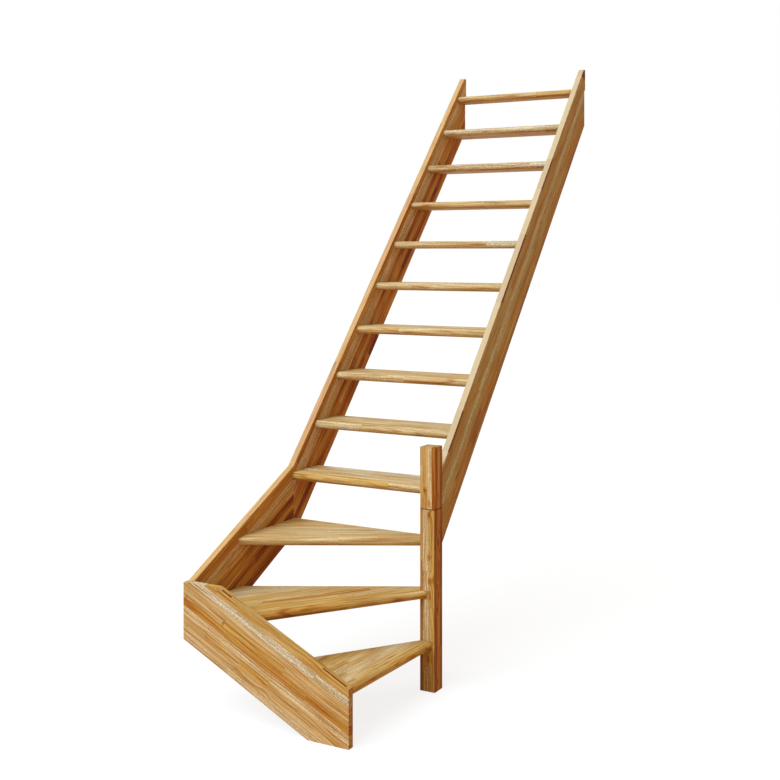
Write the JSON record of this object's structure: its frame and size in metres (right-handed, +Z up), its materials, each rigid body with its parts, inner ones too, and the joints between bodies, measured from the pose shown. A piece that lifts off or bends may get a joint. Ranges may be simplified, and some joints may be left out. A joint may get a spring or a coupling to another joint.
{
  "type": "quarter turn staircase",
  "caption": "Open-riser wooden staircase with a quarter turn of winder treads round a newel post, then a straight flight between two stringers.",
  "frame": {"origin": "centre of the newel post's foot, on the lower floor", "axes": "+Z up; +Y the way the straight flight climbs; +X from the turn towards the person who is about to step up, so the turn is to the right"},
  "size_m": [0.788, 2.556, 2.844],
  "materials": {
    "tread_board": "edge-glued hardwood board, oiled satin",
    "stringer_board": "edge-glued hardwood board, oiled satin",
    "newel_wood": "laminated hardwood post, oiled satin"
  },
  "bodies": {
    "root": {"tread_01": "tread_board", "tread_02": "tread_board", "tread_03": "tread_board", "tread_04": "tread_board", "tread_05": "tread_board", "tread_06": "tread_board", "tread_07": "tread_board", "tread_08": "tread_board", "tread_09": "tread_board", "tread_10": "tread_board", "tread_11": "tread_board", "tread_12": "tread_board", "tread_13": "tread_board", "front_stringer": "stringer_board", "left_stringer_lower": "stringer_board", "left_stringer_upper": "stringer_board", "right_stringer": "stringer_board", "newel_post_lower": "newel_wood", "newel_post_upper": "newel_wood"}
  },
  "joints": []
}
